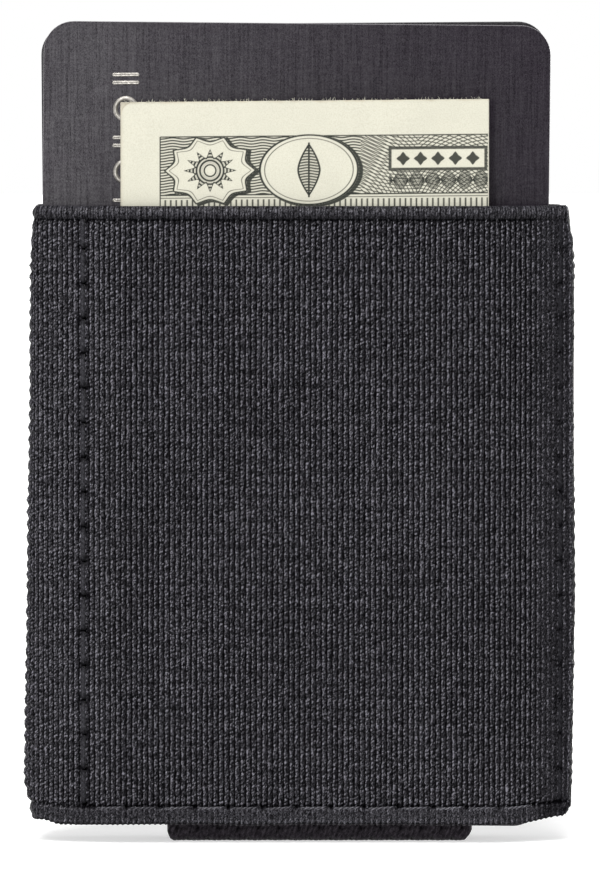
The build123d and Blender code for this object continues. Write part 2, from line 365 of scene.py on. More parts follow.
def metal(name, colour, roughness, grain):
    """A plated or foiled surface with fine wear, dark where its sunk value says."""
    nodes = Nodes(bpy.data.materials.new(name))
    wear = nodes.noise((grain, grain, grain), 3.0, 0.6)
    worn = nodes.mix(nodes.span(wear, 0.35, 0.7, 0.0, 1.0), colour, scaled(colour, 0.72))
    nodes.set(
        Base_Color=nodes.mix(nodes.attribute("sunk"), worn, scaled(colour, 0.12)),
        Metallic=1.0,
        Roughness=nodes.span(wear, 0.3, 0.7, roughness * 0.8, roughness * 1.3),
        Normal=nodes.relief(wear, 0.01),
    )
    return nodes.owner


def note_paper(name, paper, ink):
    """Cotton paper, printed where the ink value says, with worn and stained edges."""
    nodes = Nodes(bpy.data.materials.new(name))
    pulp = nodes.noise((0.3, 0.3, 0.3), 4.0, 0.6)
    cloud = nodes.noise((5.0, 5.0, 5.0), 4.0, 0.6)
    fleck = nodes.noise((0.13, 0.13, 0.13), 2.0, 0.7)
    stains = nodes.span(cloud, 0.35, 0.7, 0.0, 0.35)
    soil = nodes.math("ADD", stains, nodes.span(fleck, 0.42, 0.72, 0.0, 1.0))
    base = nodes.mix(soil, paper, scaled(paper, 0.86))
    base = nodes.mix(nodes.attribute("wear"), base, WORN_PAPER)
    nodes.set(
        Base_Color=nodes.mix(nodes.attribute("ink"), base, ink),
        Roughness=0.72,
        Specular_IOR_Level=0.2,
        Normal=nodes.relief(pulp, 0.035),
    )
    return nodes.owner


# Strands' sizes are across the cloth, through it and along the yarn.
elastic_look = fabric(
    "elastic", CLOTH_GROOVE_SHADE, crest=(0.038, 0.0362, 0.044), roughness=0.48,
    strand=(0.09, 0.3, 0.2), lean=24.0, glint=0.9,
)
webbing_look = fabric(
    "webbing", CLOTH_GROOVE_SHADE, crest=(0.0128, 0.0095, 0.0138), roughness=0.5,
    strand=(0.12, 0.3, 0.4), lean=30.0, glint=0.4, sheen=0.22,
)
thread_look = fabric(
    "thread", THREAD_GROOVE_SHADE, crest=(0.078, 0.076, 0.088), roughness=0.45,
    strand=(0.1, 0.1, 0.2), lean=30.0, glint=0.35,
)
front_card_look = card_plastic("front_card", face=(0.0055, 0.0026, 0.0072), edge=(0.2, 0.19, 0.2))
card_look = card_plastic("card", face=(0.008, 0.007, 0.009), edge=(0.05, 0.048, 0.052))
chip_look = metal("chip", colour=(0.25, 0.175, 0.08), roughness=0.3, grain=0.12)
foil_look = metal("foil", colour=(0.36, 0.342, 0.315), roughness=0.48, grain=0.3)
paper_look = note_paper("note", paper=(0.437, 0.425, 0.352), ink=(0.01, 0.012, 0.009))


# ---- the sleeve
ARC_STEP = 0.06  # radians between the points of a rounded corner


def rounded(route, radii):
    """Points along a route with its corners rounded, and the normals on its right."""
    route = [np.array(point, float) for point in route]
    heading = [(b - a) / np.linalg.norm(b - a) for a, b in zip(route, route[1:])]
    right = [np.array([d[1], -d[0]]) for d in heading]
    points, normals = [route[0]], [right[0]]
    for i, radius in enumerate(radii):
        corner = route[i + 1]
        turn = np.arctan2(np.cross(heading[i], heading[i + 1]), heading[i] @ heading[i + 1])
        reach = radius * abs(tan(turn / 2))
        centre = corner - heading[i] * reach - np.sign(turn) * right[i] * radius
        for angle in np.linspace(0, turn, max(3, int(abs(turn) / ARC_STEP))):
            c, s = cos(angle), sin(angle)
            side = np.array([c * right[i][0] - s * right[i][1], s * right[i][0] + c * right[i][1]])
            points.append(centre + np.sign(turn) * side * radius)
            normals.append(side)
    points.append(route[-1])
    normals.append(right[-1])
    return np.array(points), np.array(normals)


def plan(x, depth):
    """A point in plan, at a depth behind the middle of the card stack."""
    return (x, stack_y + depth)


# The strip's inner face in plan. Depths are measured from the middle of the card stack.
SEAM_FLAP = 2.1  # how far the layers that the right seam joins reach in
FREE = 0.02  # kept between layers that lie on each other
pocket_left, pocket_right = band_low.x + ELASTIC, band_high.x - SEAM_FLAP
pocket_half = band_high.y - ELASTIC - stack_y
divider_front = stack_y - divider_low.y
cash_front = stack_y - band_low.y - ELASTIC
edge_depth, corner_depth = stack_half + 0.13, stack_half + 0.58
flap_front = edge_depth + ELASTIC + 2 * FREE
bulge_left, bulge_right = strap_x - 17.3, strap_x + 17.3  # where the strap stops pushing the cloth out
note_bulge_left, note_bulge_right = note_low.x - 0.15, note_high.x + 0.45
back_route = [
    plan(band_high.x, -edge_depth),
    plan(pocket_right, -edge_depth),
    plan(pocket_right, edge_depth + 0.15),
    plan(bulge_right, pocket_half),
    plan(bulge_left, pocket_half),
    plan(pocket_left, corner_depth),
    plan(pocket_left, 0),
]
back_radii = [1.3, 0.6, 6, 6, 1.2]
front_route = [
    plan(pocket_left, 0),
    plan(pocket_left, -corner_depth),
    plan(left_seam_x - 1.9, -divider_front + 0.55),
    plan(note_bulge_left, -cash_front),
    plan(note_bulge_right, -cash_front),
    plan(pocket_right, -flap_front),
    plan(band_high.x, -flap_front),
]
front_radii = [1.2, 3, 4, 4, 3]
divider_route = [
    plan(divider_low.x, -edge_depth - 0.55),
    plan(note_bulge_left, -pocket_half),
    plan(bulge_right, -pocket_half),
    plan(pocket_right, -edge_depth - FREE),
    plan(band_high.x, -edge_depth - FREE),
]
divider_radii = [6, 6, 3]

# How far the sleeve's left and right outlines stand inside the CAD's, by height.
OUTLINE_Z = [2.0, 3.1, 4.0, 4.8, 6.5, 15.0, 26.0, 36.0, 47.0, 55.0, 62.0, 64.5, 66.4, 67.4, 67.8, 68.0]
LEFT_INSET = [0.75, 0.55, 0.55, 0.23, -0.1, 0.0, 0.2, 0.33, 0.55, 0.6, 0.68, 0.75, 0.95, 1.1, 1.15, 1.25]
RIGHT_INSET = [0.5, 0.23, 0.12, 0.33, 0.12, 0.0, -0.2, -0.1, 0.0, 0.0, -0.05, 0.08, 0.5, 0.5, 0.6, 0.85]
EDGE_REACH = 1.4  # how far in from an outline its inset fades out
LIFT_TOP, LIFT_FADE = 5.4, 3.4  # where the bottom edge's lift ends, and how far it takes to fade


def drawn_in(x, z):
    """X once the sleeve's outline is drawn in at the sides."""
    at_left = np.clip((band_low.x + EDGE_REACH - x) / EDGE_REACH, 0, 1)
    at_right = np.clip((x - band_high.x + EDGE_REACH) / EDGE_REACH, 0, 1)
    left = np.interp(z, OUTLINE_Z, LEFT_INSET) * at_left
    right = np.interp(z, OUTLINE_Z, RIGHT_INSET) * at_right
    return x + left - right


def hem_lift(x, z):
    """How far the bottom edge is lifted: a little at the left, more at the right corner."""
    left = 0.45 * ramp(-x, 25.6, 27.6)
    right = 0.75 * ramp(x, 22.5, 28.2) + 0.5 * ramp(x, 28.2, 29.4)
    waves = 0.07 * smooth_noise(SEED + 1, x / 5.0)
    return (left + right + waves) * np.clip((LIFT_TOP - z) / LIFT_FADE, 0, 1)


class Strip:
    """A strip along a route with rounded corners, measured along its right face."""

    def __init__(self, thickness, *stretches):
        inner, normal = [], []
        for route, radii in stretches:
            points, normals = rounded(route, radii)
            inner.append(points)
            normal.append(normals)
        self.inner = np.concatenate(inner)
        self.normal = np.concatenate(normal)
        self.outer = self.inner + self.normal * thickness
        steps = np.linalg.norm(np.diff(self.outer, axis=0), axis=1)
        self.along = np.concatenate([[0], np.cumsum(np.maximum(steps, 1e-6))])
        self.length = self.along[-1]

    def at(self, s):
        """Points of the left face and normals, at distances along the right one."""
        inner = [np.interp(s, self.along, self.inner[:, i]) for i in (0, 1)]
        normal = [np.interp(s, self.along, self.normal[:, i]) for i in (0, 1)]
        size = np.hypot(*normal)
        return inner[0], inner[1], normal[0] / size, normal[1] / size


band = Strip(ELASTIC, (back_route, back_radii), (front_route, front_radii))
divider = Strip(ELASTIC, (divider_route, divider_radii))
# Where the band's outside shows
in_front = (band.normal[:, 1] < -0.5) & (band.along > band.length / 2)
behind = (band.normal[:, 1] > 0.5) & (band.along < band.length / 2) & (band.along > 5)


def stitch_ends(low, high, pitch):
    """The holes of a seam whose stitches run from low to high."""
    count = round((high - low + STITCH_GAP) / pitch)
    return low - STITCH_GAP / 2 + pitch * np.arange(count + 1)


side_holes = stitch_ends(left_low.z, left_high.z, SIDE_PITCH)
hem_holes = stitch_ends(hem_low.x, hem_high.x, CROSS_PITCH)


def holes(across, along, places, radius):
    """Soft pits at places along a seam."""
    nearest = np.min(np.abs(along[..., None] - places), axis=-1)
    return bump(across, radius) * bump(nearest, radius)


def rib_beads(rib, column, x, z, seed):
    """Relief, shade and filaments of the weave: ribs of slanted beads, every third one bold."""
    draw = np.random.default_rng(seed)
    ribs, beads = int(rib.max()) + 2, int(band_high.z / BEAD) + 8
    strength = draw.uniform(0.5, 1.0, (ribs, beads))
    tone = np.clip(draw.normal(1.0, 0.16, (ribs, beads)), 0.5, 1.5)
    tone[draw.random((ribs, beads)) < LIGHT_BEADS] = LIGHT_BEAD_TONE
    floats = draw.random((ribs, beads)) < FLOATS
    floats |= np.roll(floats, 1, axis=1)
    phase = draw.uniform(-0.07, 0.07, (ribs, 1))
    rib_tone_and_painted_light = draw.uniform(0.88, 1.12, ribs)

    share = RIB_COLUMNS[column]
    drift = 0.4 * smooth_noise(seed + 1, x / 13.0, z / 11.0)
    place = z / BEAD + phase[rib, 0] + drift - BEAD_SLANT * (share - 0.4) + 0.5 * (rib % 2) + 2
    number = np.floor(place).astype(int)
    part = place - number
    hump = np.clip(1 - (2 * part - 1) ** 2, 0, 1)
    hump = np.where(floats[rib, number], np.maximum(hump, 0.8), hump)
    strong = BEAD_STRENGTH[(number - rib % 2) % 3]
    crest = RIB_CREST[column]
    # Painted light: on top of their random tone, the ribs are made up to 12 % lighter towards the left
    # edge.
    rib_tone_and_painted_light = rib_tone_and_painted_light[rib] * (1 + 0.12 * ramp(-x, 20.0, 25.0))
    height = RIB_RELIEF[column] + BEAD_HEIGHT * crest * (hump * strong * strength[rib, number] - 0.5)
    specks = draw.lognormal(-SPECKLE**2 / 2, SPECKLE, height.shape)
    # Painted glints: a share of the filaments are made GLINT_GAIN times lighter.
    specks[draw.random(height.shape) < GLINTS] *= GLINT_GAIN
    # Painted shade between the beads and painted highlights on their tops.
    bead_shade = 0.02 + 2.6 * hump**2 * strong
    shade = RIB_PAINTED_LIGHT[column] * (1 - crest + crest * bead_shade * tone[rib, number])
    return height, shade * rib_tone_and_painted_light * specks, specks


def add_hem(height, shade, specks, column, x, z, seed):
    """Makes what is under the hem's groove a plainer band, and sinks the hem's and the roll's grooves."""
    crest = RIB_CREST[column]
    hem = 1 - ramp(z, HEM_GROOVE_Z - 0.25, HEM_GROOVE_Z)
    specks = specks ** (1 - 0.5 * hem)
    hem_beads = bump(z - band_low.z - 1.75, 0.16) + bump(z - band_low.z - 0.5, 0.2)
    height = height * (1 - 0.5 * hem) + 0.05 * hem * crest * hem_beads
    plain_tone = 0.4 + 0.42 * RIB_PAINTED_LIGHT[column]
    # The hem band's tone follows the ribs' painted light, flatter, with painted highlights on its two rows
    # of beads.
    shade = shade * (1 - hem) + hem * specks * plain_tone * (0.62 + 0.5 * crest * hem_beads)

    groove = bump(z - HEM_GROOVE_Z - 0.06, 0.19) * (0.8 + 0.2 * smooth_noise(seed + 2, x / 0.9))
    top_groove = bump(z - ROLL_GROOVE_Z, 0.14)
    height = height - 0.3 * groove - 0.22 * top_groove
    # Painted shade in the hem's groove and in the groove under the roll.
    shade = shade * (1 - 0.62 * groove) * (1 - 0.9 * top_groove)
    return height, shade, specks


SEAM_CHANNELS = (  # where a seam draws the cloth in: its middle, half-width and depth
    (left_seam_x, 0.42, 0.26),
    (right_seam_x, 0.34, 0.2),
    (right_seam_x + 0.75, 0.16, 0.22),
)


def add_seams(height, shade, specks, x, z, front):
    """Sinks the seams' channels and needle holes into the front, and flattens its right margin."""
    in_panel = ramp(z, HEM_GROOVE_Z, HEM_GROOVE_Z + 0.5) * (1 - ramp(z, 66.8, 67.3))
    for seam_x, width, depth in SEAM_CHANNELS:
        channel = bump(x - seam_x, width) * front * in_panel
        height = height - depth * channel
        # Painted shade in the channel.
        shade = shade * (1 - 0.55 * channel)

    x_grid, z_grid = np.broadcast_arrays(x, z)
    pits = holes(x_grid - left_seam_x, z_grid, side_holes, 0.48)
    pits = pits + 0.65 * holes(x_grid - right_seam_x, z_grid, side_holes, 0.36)
    pits = pits + 0.85 * holes(z_grid - HEM_GROOVE_Z + 0.02, x_grid, hem_holes, 0.25)
    pits = np.clip(pits * front, 0, 1)
    height = height - 0.45 * pits
    # Painted shade in the needle holes.
    shade = shade * (1 - 0.95 * pits)

    margin = ramp(x, right_seam_x - 3.2, right_seam_x - 1.4) * front
    rim = bump(x - band_high.x + 0.4, 0.3) * front
    height = height * (1 - 0.3 * margin * in_panel)
    shade = shade * (1 - 0.6 * margin)
    shade = shade + 0.14 * margin * in_panel * (1 - pits) * specks**0.5 + 0.1 * rim * in_panel
    return height, shade


FOOT, FACE, ROLL, INSIDE = range(4)  # the parts of the strip's section


def wall_profile(top, fine):
    """The strip's section, up the outside and down the inside: offset from its inner face, height, part."""
    low = band_low.z
    step = BEAD / ROWS_PER_BEAD if fine else 0.5
    foot = [(0.12, low + 0.12), (0.3, low + 0.02), (0.6, low), (0.88, low + 0.04), (1.05, low + 0.17)]
    face = [(ELASTIC, z) for z in np.arange(low + 0.33, top - 1.42, step)]
    angles = np.radians(np.arange(-50, 191, 16 if fine else 40))
    shift = ROLL_RADIUS * np.cos(angles) + ELASTIC - 0.5
    roll = [(max(o, 0.0), top - ROLL_RADIUS + ROLL_RADIUS * sin(a)) for o, a in zip(shift, angles)]
    inside = [(0.0, z) for z in np.linspace(top - ROLL_RADIUS - 0.25, low + 0.3, 12)]
    rows = np.array(foot + face + roll + inside)
    part = np.repeat([FOOT, FACE, ROLL, INSIDE], [len(foot), len(face), len(roll), len(inside)])
    return rows[:, 0], rows[:, 1], part


def wall_piece(name, wall, first, last, seed, top=band_high.z, fine=True, ends=(False, False)):
    """A stretch of the woven strip, from one rib to another; ends says which of them are cut ends."""
    offset, z, part = wall_profile(top, fine)
    rib = np.repeat(np.arange(first, last), len(RIB_COLUMNS))
    column = np.tile(np.arange(len(RIB_COLUMNS)), last - first)
    rib, column = np.append(rib, last - 1), np.append(column, 0)
    s = (rib + RIB_COLUMNS[column]) * RIB
    s[-1] = last * RIB
    s = np.minimum(s, wall.length)[:, None]
    inner_x, inner_y, normal_x, normal_y = (value[:, None] for value in wall.at(s[:, 0]))
    x = inner_x + normal_x * ELASTIC
    rib, column = rib[:, None], column[:, None]
    z, offset, part = z[None, :], offset[None, :], part[None, :]
    crest = RIB_CREST[column]
    height, shade, specks = add_hem(*rib_beads(rib, column, x, z, seed), column, x, z, seed)
    height, shade = add_seams(height, shade, specks, x, z, np.where(normal_y < 0, 1.0, 0.0))

    outside = part == FACE
    stroke = ROLL_STROKE[column]
    # Painted light: the top of the rolled edge is made lighter, and its raised strokes get painted
    # highlights.
    roll_light = ramp(z, top - 1.2, top - 0.5) * (1 + 0.25 * smooth_noise(seed + 5, s / 0.4, z))
    flecks = 1 + 0.8 * smooth_noise(seed + 8, s / 0.13, z / 0.35)
    roll_shade = (0.12 + 0.24 * (stroke > 0)) * (1 + 0.9 * roll_light) * flecks
    parts = [outside, part == ROLL, part == FOOT]
    height = np.select(parts, [height, 0.035 * stroke - 0.02, 0.0], 0.04 * RIB_RELIEF[column])
    shade = np.select(parts[:2], [shade, roll_shade], 0.03 + 0.25 * crest)

    fold = np.where(normal_x < -0.6, 1.0, 0.0)
    scallop = np.abs(np.sin(pi * (z / BOLD_ROW + 0.3 * smooth_noise(seed + 4, z / 3.0)))) - 0.5
    scallop = scallop * (1 + 0.5 * smooth_noise(seed + 7, z / 2.0))
    swell = 0.07 * smooth_noise(seed + 3, s / 8.0, z / 9.0) + 0.2 * fold * scallop * outside
    outward = offset + (height + swell) * (offset > 0.3)
    sideways = 0.03 * smooth_noise(seed + 6, s / 0.8, z / 1.6)
    sideways = sideways + 0.045 * crest * np.sin(2 * pi * z / BOLD_ROW + pi * (rib % 2))
    sideways = sideways * outside * np.abs(normal_y)
    for is_end, distance in zip(ends, (s - s[0], s[-1] - s)):
        if is_end:
            full = np.sqrt(1 - (1 - np.clip(distance / 0.45, 0.02, 1)) ** 2)
            outward = ELASTIC / 2 + (outward - ELASTIC / 2) * full
            sideways = sideways + 0.16 * scallop * outside * np.clip(1 - distance / 1.2, 0, 1)
    hem_scallop = 0.12 * (1 - crest) * np.clip((band_low.z + 0.9 - z) / 0.9, 0, 1)
    points = np.empty((*outward.shape, 3))
    points[..., 0] = drawn_in(inner_x + normal_x * outward, z) + sideways
    points[..., 1] = inner_y + normal_y * outward
    points[..., 2] = z + hem_lift(x, z) + hem_scallop
    return swept_piece(name, (points, {"shade": np.clip(shade, 0, SHADE_LIMIT)}))


def build_sleeve():
    """The elastic band in three stretches, back, left fold and front; and the divider."""
    back_s = np.interp(left_seam_x, band.outer[behind, 0][::-1], band.along[behind][::-1])
    front_s = np.interp(left_seam_x + 0.9, band.outer[in_front, 0], band.along[in_front])
    back_rib, front_rib = int(back_s / RIB), int(front_s / RIB)
    for name, first, last, ends in (
        ("sleeve_back", 0, back_rib, (True, False)),
        ("sleeve_fold", back_rib, front_rib, (False, False)),
        ("sleeve_front", front_rib, int(band.length / RIB), (False, True)),
    ):
        piece = wall_piece(name, band, first, last, SEED, ends=ends)
        finish_piece(piece, "sleeve", elastic_look, ["elastic_band"])
    top, ribs = divider_high.z - 0.4, int(divider.length / RIB)
    piece = wall_piece("divider", divider, 0, ribs, SEED + 40, top, fine=False, ends=(True, True))
    finish_piece(piece, "sleeve", elastic_look, ["divider_panel"])


# ---- seams
FRONT, BACK = (0, -1, 0), (0, 1, 0)
HOLE_INSET = 0.2  # how far inside its holes a thread starts and ends
STITCH_ROWS, STITCH_COLUMNS = 30, 14


def stitch(start, end, outward, dip=0.42, rise=0.0, tone=1.0, size=1.0, twist=1.0):
    """A two-ply thread from hole to hole, pulled down into the cloth at both ends.

    dip is how far its ends go down, rise how far its middle stands out, and twist how deep its grooves are.
    """
    start, end, outward = (np.array(v, float) for v in (start, end, outward))
    run = end - start
    length = np.linalg.norm(run)
    t = np.linspace(0.02, 0.98, STITCH_ROWS)
    sink = dip * np.abs(2 * t - 1) ** 5
    centre = start + run * t[:, None] + outward * (rise - sink)[:, None]
    along = np.gradient(centre, axis=0)
    along /= np.linalg.norm(along, axis=1)[:, None]
    side = np.cross(along, outward)
    side /= np.linalg.norm(side, axis=1)[:, None]
    up = np.cross(side, along)
    angle = -np.linspace(0, 2 * pi, STITCH_COLUMNS, endpoint=False)[None, :]
    ply = np.cos(angle - 2 * pi * (t * length / PLY_TWIST)[:, None])
    taper = (1.1 - 0.2 * t)[:, None]
    ply = np.maximum(1 - twist * (1 - np.abs(ply)), 0)
    radius = size * THREAD_RADIUS * (0.66 + 0.46 * ply) * taper
    points = centre[:, None] + radius[..., None] * (
        side[:, None] * np.cos(angle)[..., None] + up[:, None] * np.sin(angle)[..., None]
    )
    # Painted shade in the grooves between the plies and towards the ends, where the thread goes down into
    # its holes.
    shade = tone * (0.1 + 0.9 * ply**1.5)
    shade = shade * (1 - 0.75 * ramp(np.abs(2 * t - 1), 0.6, 1.0))[:, None]
    return points, {"shade": shade}


def front_point(x, z):
    """A point on the sleeve's front face."""
    y = np.interp(x, band.outer[in_front, 0], band.outer[in_front, 1])
    return np.array([float(drawn_in(x, z)), y, z + float(hem_lift(x, z))])


def divider_point(x, z):
    """A point on the divider's back face."""
    return np.array([x, np.interp(x, divider.inner[:, 0], divider.inner[:, 1]), z])


def seam_piece(name, stitches, body, node):
    """All the stitches of a seam as one piece."""
    return finish_piece(swept_piece(name, *stitches), body, thread_look, [node])


def hem_seam():
    """The hem's stitches, uneven in slope and tone in front, and plain behind."""
    draw = np.random.default_rng(SEED + 80)
    z = HEM_GROOVE_Z - 0.12
    stitches = []
    for x0, x1 in zip(hem_holes + HOLE_INSET, hem_holes[1:] - HOLE_INSET):
        tilt, tone = draw.uniform(-0.02, 0.12), draw.uniform(0.55, 1.15)
        start, end = front_point(x0, z - tilt), front_point(x1, z + tilt)
        stitches.append(stitch(start, end, FRONT, 0.45, -0.08, tone, size=0.72, twist=1.15))
        stitches.append(stitch(divider_point(x0, z), divider_point(x1, z), BACK, 0.4, -0.05))
    return stitches


def side_seam(seam_x, tone, on_divider):
    """Thick stitches deep in a side seam's channel, and plain ones on the divider if it is sewn there."""
    stitches = []
    for z0, z1 in zip(side_holes, side_holes[1:]):
        start, end = front_point(seam_x, z0 + 0.15), front_point(seam_x, z1 - 0.15)
        stitches.append(stitch(start, end, FRONT, 0.5, -0.3, tone, size=1.4, twist=0.45))
        if on_divider:
            start, end = divider_point(seam_x, z0 + HOLE_INSET), divider_point(seam_x, z1 - HOLE_INSET)
            stitches.append(stitch(start, end, BACK, 0.4, -0.05))
    return stitches


def strap_seam(heights, sides, tone=1.0):
    """Stitches across the strap at some heights; each side has its depth, direction and rise."""
    ends = stitch_ends(tab_seam_low.x, tab_seam_high.x, CROSS_PITCH)
    stitches = []
    for x0, x1 in zip(ends + HOLE_INSET, ends[1:] - HOLE_INSET):
        for z in heights:
            for y, outward, rise in sides:
                stitches.append(stitch((x0, y, z), (x1, y, z), outward, 0.4, rise, tone))
    return stitches


def build_seams():
    """Threads of the five seams."""
    seam_piece("hem_stitches", hem_seam(), "sleeve", "bottom_hem_thread")
    seam_piece("left_stitches", side_seam(left_seam_x, 0.28, True), "sleeve", "left_seam_thread")
    seam_piece("right_stitches", side_seam(right_seam_x, 0.14, False), "sleeve", "right_seam_thread")
    anchor_rows = anchor_low.z + 0.2, anchor_high.z - 0.2
    anchor_sides = (front_leg_high.y, BACK, -0.12), (divider_low.y, FRONT, -0.12)
    seam_piece("anchor_stitches", strap_seam(anchor_rows, anchor_sides), "sleeve", "anchor_thread")
    tab_row = (tab_seam_low.z + tab_seam_high.z) / 2
    tab_sides = (tab_low.y, FRONT, -0.14), (tab_high.y, BACK, 0.02)
    seam_piece("tab_stitches", strap_seam([tab_row], tab_sides, 0.5), "tab", "tab_thread")


# ---- the strap
def webbing(name, points, radii=(), columns=8, step=WEB_PICK / 5, nip=None):
    """Flat woven webbing along a route in the YZ plane, with rounded selvages; nip may move its edges."""
    line = Strip(0.0, (points, radii))
    s = np.linspace(0, line.length, max(2, int(line.length / step)) + 1)
    across = np.linspace(-strap_half, strap_half, round(2 * strap_half / WEB_RIB) * columns + 1)
    edge = strap_half - np.abs(across)
    swell = np.sqrt(1 - (1 - np.clip(edge / (strap_thickness * 0.5), 0.03, 1)) ** 2)
    take = np.concatenate([np.arange(len(across)), np.arange(len(across))[::-1][1:-1]])
    ring_x = across[take]
    side = np.concatenate([np.ones(len(across)), -np.ones(len(across) - 2)])
    u = (ring_x[None, :] + strap_half) / WEB_RIB
    v = s[:, None] / WEB_PICK
    draw = np.random.default_rng(SEED + len(name))
    jitter = 0.06 * draw.standard_normal(v.shape)
    twill = np.abs(np.sin(pi * (2 * u + 0.5 * v + jitter)))
    cords = np.abs(np.sin(pi * (v + 0.5 * np.floor(u))))
    near_u, near_v = np.abs(u - np.round(u)), v / 3 + 0.5 * (np.round(u) % 2)
    pits = bump(near_u, 0.2) * bump(near_v - np.round(near_v), 0.13)
    specks = draw.lognormal(-0.02, 0.2, twill.shape)
    relief = WEB_RELIEF * (0.5 * twill + 0.35 * cords - 0.85) - 0.22 * pits
    # Painted light and shade: the raised twill and cords are lighter, the hollows between them darker and
    # the pits darkest.
    shade = (0.25 + 0.55 * twill + 0.3 * cords) * (1 - 0.9 * pits) * specks
    reach = (strap_thickness / 2 + relief) * swell[take][None, :] * side[None, :]
    y, z, normal_y, normal_z = (value[:, None] for value in line.at(s))
    points = np.empty((*reach.shape, 3))
    points[..., 0] = strap_x + (nip(ring_x[None, :], z) if nip else ring_x[None, :])
    points[..., 1] = y - normal_y * reach
    points[..., 2] = z - normal_z * reach
    return swept_piece(name, (points, {"shade": shade}))


def strap_corner(x, z):
    """The loop's ends: the right one runs out to a low point, the left one is rounded."""
    right = 0.9 * (1 - ramp(z, 0.0, 1.3)) * ramp(x, strap_half - 3.0, strap_half)
    left = 0.5 * (1 - ramp(z, 0.0, 1.0)) * ramp(-x, strap_half - 2.0, strap_half)
    return x - right + left


def build_strap():
    """The webbing in four pieces: the front leg, the loop, the back leg and the folded tab."""
    front_y = (front_leg_low.y + front_leg_high.y) / 2
    back_y = (back_leg_low.y + back_leg_high.y) / 2
    foot, loop_top, leg_top = loop_low.z + strap_thickness / 2, loop_high.z, back_leg_high.z
    route = [(front_y, front_leg_high.z), (front_y, loop_top)]
    leg = webbing("strap_front", route, columns=2, step=0.6)
    finish_piece(leg, None, webbing_look, ["strap_front_leg"])
    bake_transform(leg)
    route = [(front_y, loop_top), (front_y, foot), (back_y, foot), (back_y, loop_top)]
    loop = webbing("strap_loop_web", route, [STRAP_BEND, STRAP_BEND], nip=strap_corner)
    finish_piece(loop, "card_lift", webbing_look, ["strap_loop"])
    leg = webbing("strap_back", [(back_y, loop_top), (back_y, leg_top)], columns=6, step=WEB_PICK / 4)
    finish_piece(leg, None, webbing_look, ["strap_back_leg"])
    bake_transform(leg)
    outer_y, top = tab_high.y - strap_thickness / 2, tab_high.z - strap_thickness / 2
    route = [(back_y, leg_top), (back_y, top), (outer_y, top), (outer_y, tab_seam_low.z - TAB_HEM)]
    tab = webbing("pull_tab_web", route, [TAB_BEND, TAB_BEND])
    finish_piece(tab, "tab", webbing_look, ["pull_tab"])


# ---- the cards
CARDS = 5
CHIP_GROOVE = 0.03  # parts of the chip this far below its face are its grooves


def dress(name, material):
    """Gives a CAD node its material, and returns it."""
    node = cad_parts[name]
    node.data.materials.clear()
    node.data.materials.append(material)
    return node


def build_cards():
    """Looks of the CAD's cards and chip, whose grooves get a sunk value, and the front card's foil."""
    dress("card_1", front_card_look)
    for number in range(2, CARDS + 1):
        dress(f"card_{number}", card_look)
    chip = dress("card_chip", chip_look)
    places = np.empty(len(chip.data.vertices) * 3, np.float32)
    chip.data.vertices.foreach_get("co", places)
    depth = places[1::3] - places[1::3].min()
    sunk = chip.data.attributes.new("sunk", "FLOAT", "POINT")
    sunk.data.foreach_set("value", (depth > CHIP_GROOVE * MM).astype(np.float32))
    finish_piece(foil_marks(), "card_1", foil_look, [])


def ring_outline(radius, width, steps=40):
    """Inner and outer points of a flat ring."""
    angle = np.linspace(0, 2 * pi, steps, endpoint=False)
    circle = np.stack([np.cos(angle), np.sin(angle)], axis=1)
    return circle * radius, circle * (radius - width)


FOIL_X, FOIL_TOP, FOIL_PITCH = -18.45, 81.9, 3.35  # the column's middle, its top and its spacing
FOIL_COUNT, FOIL_STROKE, FOIL_THICKNESS = 5, 0.42, 0.035
FOIL_BAR = 2.9  # length
FOIL_RINGS = ((1.38, 1.15 * FOIL_STROKE), (0.5, FOIL_STROKE))  # radius and stroke


def flat_band(outer, inner, x, z):
    """Points of a closed flat band between two outlines, on the front card's face."""
    y = stack_front - FOIL_THICKNESS
    ring = np.concatenate([outer, inner, inner, outer])
    depth = np.repeat([y, y, y + FOIL_THICKNESS, y + FOIL_THICKNESS], len(outer))
    return np.stack([ring[:, 0] + x, depth, ring[:, 1] + z], axis=1)


def bar_outline():
    """Outer and inner outline of a bar with round ends."""
    outer, inner = ring_outline(FOIL_STROKE / 2, FOIL_STROKE / 2 - 0.01, 20)
    stretch = np.where(outer[:, :1] > 0, 1, -1) * np.array([[(FOIL_BAR - FOIL_STROKE) / 2, 0]])
    return outer + stretch, inner + stretch


def foil_marks():
    """A column of thin foil bars and rings where a card carries its embossing."""
    bands = []
    for i in range(FOIL_COUNT):
        z = FOIL_TOP - FOIL_PITCH * i
        if i % 2 == 0:
            bands += [flat_band(*bar_outline(), FOIL_X, z), flat_band(*bar_outline(), FOIL_X, z - 0.85)]
        else:
            bands += [flat_band(*ring_outline(*ring), FOIL_X, z - 0.3) for ring in FOIL_RINGS]
    quads, count = [], 0
    for points in bands:
        n = len(points) // 4
        i = np.arange(n)
        j = (i + 1) % n
        for a, b in ((0, 1), (1, 2), (2, 3), (3, 0)):
            quads.append(np.stack([a * n + j, b * n + j, b * n + i, a * n + i], axis=1) + count)
        count += len(points)
    return new_piece("foil_marks", np.concatenate(bands), np.concatenate(quads))


# ---- the banknote
def build_note():
    """The note, folded into quarters, with a generic engraved print of its own."""
    finish_piece(note_mesh(), "banknote", paper_look, ["banknote"])
    finish_piece(note_fibres(), "banknote", paper_look, [])


def note_top(across):
    """Height of the note's top edge at a distance from its left edge."""
    return note_high.z - NOTE_DROP + (across - NOTE_WIDTH) * sin(NOTE_TILT)


